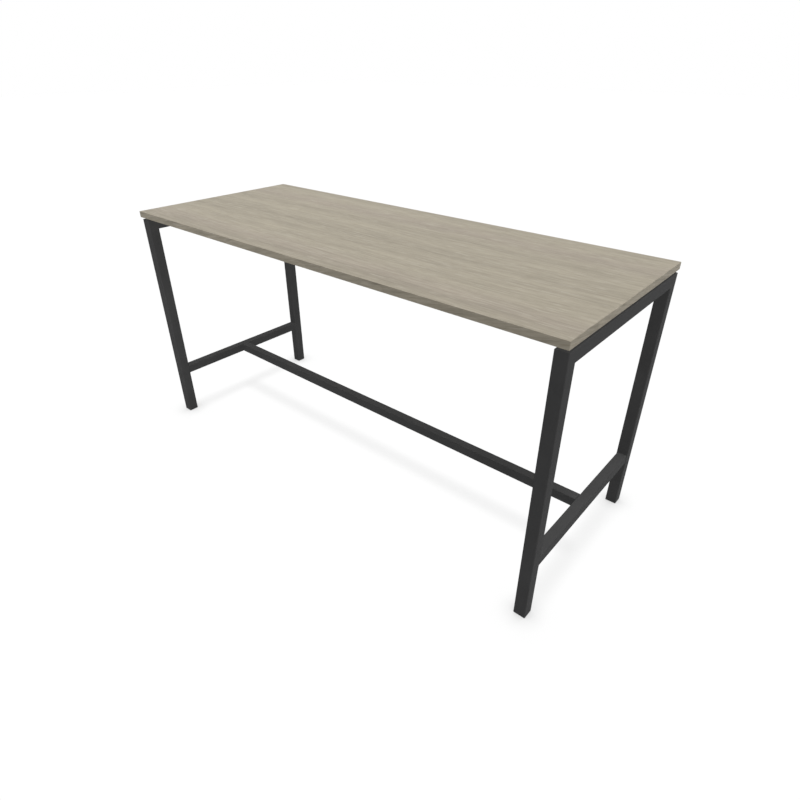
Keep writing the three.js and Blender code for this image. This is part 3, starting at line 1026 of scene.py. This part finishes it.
def add_spacer(fixing):
    node = f"spacer_{fixing}"
    radius = size_of(node).y / 2
    height = size_of(node).z
    shape = turned([(SPACER_BORE, 0), (radius, 0), (radius, height), (SPACER_BORE, height), (SPACER_BORE, 0)])
    soften(shape, SPACER_ARRIS, SPACER_ARRIS_STEPS, lambda edge: beyond(edge, 2 * SPACER_BORE))
    finish_piece(f"moulded_spacer_{fixing}", shape, standing(node), SPACER_PLASTIC, [node])


def add_top_screw(fixing):
    """Screw that comes up through frame and spacer into the board."""
    node = f"top_screw_{fixing}"
    size = size_of(node)
    length = size.z - BOARD_SCREW_HEAD
    head = domed_head(size.y / 2, BOARD_SCREW_HEAD, BOARD_SCREW_RIM, BOARD_SCREW_CROWN)
    shape = turned([*head, (BOARD_SCREW_SHANK, 0), (BOARD_SCREW_SHANK, length - BOARD_SCREW_TIP),
                    (0, length)])
    sink_key(shape, BOARD_SCREW_KEY, -BOARD_SCREW_HEAD, BOARD_SCREW_KEY_DEPTH)
    zinc_piece(f"board_screw_{fixing}", shape, standing(node, BOARD_SCREW_HEAD), node)


# Levelling feet

def add_leg_insert(corner):
    """Insert in its CAD shape, with the edges between flat neighbours taken out."""
    node = f"leg_insert_{corner}"
    shape = bmesh.new()
    shape.from_mesh(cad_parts[node].data)
    bmesh.ops.remove_doubles(shape, verts=shape.verts, dist=TINY)
    bmesh.ops.dissolve_limit(shape, angle_limit=FLAT_ANGLE, verts=shape.verts, edges=shape.edges)
    finish_piece(f"moulded_insert_{corner}", shape, Matrix.Identity(4), FOOT_PLASTIC, [node])


def threaded_rod(bottom, top):
    """Threaded rod about Z, with flat ends."""
    shape = bmesh.new()
    start = bottom - STUD_PITCH
    tooth = open_profile(shape, [(radius, start + share * STUD_PITCH) for radius, share in STUD_TOOTH])
    turns = math.ceil((top - bottom) / STUD_PITCH) + 2
    bmesh.ops.spin(shape, geom=tooth, axis=(0, 0, 1), cent=(0, 0, 0), angle=turns * 2 * math.pi,
                   steps=turns * THREAD_STEPS, dvec=(0, 0, STUD_PITCH / THREAD_STEPS))
    bmesh.ops.remove_doubles(shape, verts=shape.verts, dist=TINY)
    for height, way in ((bottom, -1), (top, 1)):
        bmesh.ops.bisect_plane(shape, geom=everything(shape), dist=TINY, plane_co=(0, 0, height),
                               plane_no=(0, 0, way), clear_outer=True)
    bmesh.ops.holes_fill(shape, edges=[e for e in shape.edges if e.is_boundary], sides=0)
    return shape


def stud_collar():
    """Six-sided collar by which the stud is turned."""
    shape = bmesh.new()
    bmesh.ops.create_circle(shape, cap_ends=True, segments=KEY_SIDES, radius=COLLAR_KEY)
    thicken(shape, COLLAR_HEIGHT)
    bmesh.ops.translate(shape, vec=(0, 0, COLLAR_TOP - COLLAR_HEIGHT), verts=shape.verts)
    soften(shape, COLLAR_ARRIS, STUD_ARRIS_STEPS)
    return shape


def add_into(shape, other):
    """Adds the mesh of another shape to this one."""
    mesh = mesh_of(other, "part")
    shape.from_mesh(mesh)
    bpy.data.meshes.remove(mesh)


def add_stud(corner):
    """Stud with a disc that turns in the pad, a collar and a threaded rod."""
    node = f"foot_stud_{corner}"
    low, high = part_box(node)
    middle = middle_of(node)
    collar_middle = COLLAR_TOP - COLLAR_HEIGHT / 2
    disc_top = low.z + STUD_DISC_HEIGHT
    shape = turned([(0, low.z), (STUD_DISC, low.z), (STUD_DISC, disc_top), (STUD_NECK, disc_top),
                    (STUD_NECK, collar_middle), (0, collar_middle)])
    soften(shape, STUD_ARRIS, STUD_ARRIS_STEPS)
    add_into(shape, stud_collar())
    add_into(shape, threaded_rod(collar_middle, high.z))
    place = Matrix.Translation((middle.x, middle.y, 0))
    zinc_piece(f"threaded_stud_{corner}", shape, place, node, f"stud_{corner}")


def add_pad(corner):
    """Pad with a bevelled foot, a tapered shoulder and a socket for the stud's disc."""
    node = f"foot_pad_{corner}"
    radius = size_of(node).y / 2
    height = size_of(node).z
    socket = STUD_DISC + TURN_PLAY
    mouth = STUD_NECK + TURN_PLAY
    socket_top = PAD_SOLE + STUD_DISC_HEIGHT + 2 * TURN_PLAY
    shape = turned([(0, 0), (radius - PAD_CHAMFER, 0), (radius, PAD_CHAMFER), (radius, PAD_RIM),
                    (radius - PAD_TAPER, height), (mouth, height), (mouth, socket_top), (socket, socket_top),
                    (socket, PAD_SOLE), (0, PAD_SOLE)])
    soften(shape, PAD_ARRIS, chosen=lambda edge: beyond(edge, socket + TURN_PLAY))
    finish_piece(f"glide_pad_{corner}", shape, standing(node), FOOT_PLASTIC, [node],
                 f"pad_{corner}")


# Studio

def seen_rays(tree):
    """1 for rays from the camera, a reflection or glass, and 0 for rays that carry light."""
    rays = add_node(tree, "ShaderNodeLightPath").outputs
    seen = maths(tree, "MAXIMUM", rays["Is Camera Ray"], rays["Is Glossy Ray"])
    return maths(tree, "MAXIMUM", seen, rays["Is Transmission Ray"])


def floor_finish():
    """Pale floor: the white studio shows through it, apart from the shadow lamp's soft shadows and a painted
    contact shade round what stands on it.
    """
    finish = bpy.data.materials.new("studio floor")
    finish.use_nodes = True
    tree = finish.node_tree
    tree.nodes.clear()
    seen = seen_rays(tree)
    # Painted contact shade: ambient occlusion darkens the floor near the feet and the low parts
    painted_contact_shade = add_node(tree, "ShaderNodeAmbientOcclusion", {"Distance": CONTACT_SHADE_REACH},
                       samples=CONTACT_SHADE_SAMPLES).outputs["AO"]
    shaded = spread(tree, painted_contact_shade, 0.0, 1.0, FLOOR_CLEAR * (1 - CONTACT_SHADE_DEPTH), FLOOR_CLEAR)
    clearness = maths(tree, "MULTIPLY", seen, shaded)
    white = add_node(tree, "ShaderNodeBsdfTransparent", {"Color": clearness}).outputs[0]
    shade = spread(tree, seen, 0.0, 1.0, FLOOR_BOUNCE, FLOOR_SHADE)
    matt = add_node(tree, "ShaderNodeBsdfDiffuse", {"Color": shade}).outputs[0]
    above = add_node(tree, "ShaderNodeAddShader", {0: white, 1: matt}).outputs[0]
    clear = add_node(tree, "ShaderNodeBsdfTransparent").outputs[0]
    below = add_node(tree, "ShaderNodeNewGeometry").outputs["Backfacing"]
    whole = add_node(tree, "ShaderNodeMixShader", {0: below, 1: above, 2: clear}).outputs[0]
    add_node(tree, "ShaderNodeOutputMaterial", {"Surface": whole})
    return finish


def add_floor():
    """Floor under the levelling feet, where they stand at rest."""
    shape = rectangle(2 * FLOOR_REACH, 2 * FLOOR_REACH)
    bmesh.ops.translate(shape, vec=(0, 0, cad_box[0].z - TINY), verts=shape.verts)
    mesh = mesh_of(shape, "studio_floor")
    mesh.materials.append(floor_finish())
    floor = new_object("studio_floor", mesh)
    return floor


def add_studio_light():
    """Soft light from all round, somewhat stronger from the right, the back and above."""
    world = bpy.data.worlds.new("studio")
    world.use_nodes = True
    tree = world.node_tree
    tree.nodes.clear()
    way = add_node(tree, "ShaderNodeTexCoord").outputs["Generated"]
    slope = add_node(tree, "ShaderNodeVectorMath", {0: way, 1: (SKY_RIGHT, SKY_BACK, SKY_UP)},
                     operation="DOT_PRODUCT").outputs["Value"]
    level = maths(tree, "ADD", slope, SKY_LEVEL)
    light = add_node(tree, "ShaderNodeBackground", {"Color": WHITE, "Strength": level}).outputs[0]
    white = add_node(tree, "ShaderNodeBackground", {"Color": WHITE, "Strength": 1.0}).outputs[0]
    both = add_node(tree, "ShaderNodeMixShader", {0: seen_rays(tree), 1: light, 2: white}).outputs[0]
    add_node(tree, "ShaderNodeOutputWorld", {"Surface": both})
    bpy.context.scene.world = world


def new_lamp(name, kind, energy):
    lamp = new_object(name, bpy.data.lights.new(name, kind))
    lamp.data.energy = energy
    return lamp


def add_sun(name, arrow, brightness, width):
    """Sun lamp in the direction of an arrow. At a brightness of 1, white that faces it renders white."""
    lamp = new_lamp(name, "SUN", math.pi * brightness)
    lamp.data.angle = math.radians(width)
    lamp.rotation_euler = Vector(arrow).to_track_quat("Z", "Y").to_euler()
    return lamp


def keep_off(lamp, floor):
    """Keeps the light of a lamp off the floor, and its image out of reflections."""
    unlit = bpy.data.collections.new(f"not lit by {lamp.name}")
    unlit.objects.link(floor)
    unlit.collection_objects[0].light_linking.link_state = "EXCLUDE"
    lamp.light_linking.receiver_collection = unlit
    lamp.visible_glossy = False


def add_lamps(floor):
    for name, arrow in LAMPS.items():
        lamp = add_sun(name, arrow, Vector(arrow).length, LAMP_WIDTH)
        lamp.data.use_shadow = name == "top_lamp"
        keep_off(lamp, floor)
    for name, (place, power) in POINT_LAMPS.items():
        lamp = new_lamp(name, "POINT", power)
        lamp.data.use_shadow = False
        lamp.location = place
        keep_off(lamp, floor)


def add_shadow_lamp(floor):
    """Lamp overhead that lights only the floor, where the low bars and the legs stand in its way."""
    lamp = add_sun("shadow_lamp", (0, 0, 1), SHADOW_LAMP, SHADOW_LAMP_WIDTH)
    lit = bpy.data.collections.new("lit by shadow lamp")
    lit.objects.link(floor)
    in_the_way = bpy.data.collections.new("in the way of shadow lamp")
    for name in SHADOW_MAKERS:
        in_the_way.objects.link(bpy.data.objects[name])
    lamp.light_linking.receiver_collection = lit
    lamp.light_linking.blocker_collection = in_the_way


def add_camera():
    camera = new_object("camera", bpy.data.cameras.new("camera"))
    camera.data.lens = CAMERA_LENS
    camera.location = CAMERA_PLACE
    camera.rotation_euler = [math.radians(angle) for angle in CAMERA_TURN]
    bpy.context.scene.camera = camera


# Assembly

bpy.context.scene.view_settings.view_transform = "Standard"
add_camera()
add_studio_light()
add_board()
for end in ENDS:
    add_end_frame(end)
    for number in PAIR:
        add_set_screw(end, number)
add_foot_rail()
for side in SIDES:
    add_beam(side)
for corner in CORNERS:
    add_plate(corner)
    for number in PAIR:
        add_bolt(corner, number)
    add_leg_insert(corner)
    add_stud(corner)
    add_pad(corner)
for fixing in FIXINGS:
    add_spacer(fixing)
    add_top_screw(fixing)

studio_floor = add_floor()
add_lamps(studio_floor)
add_shadow_lamp(studio_floor)
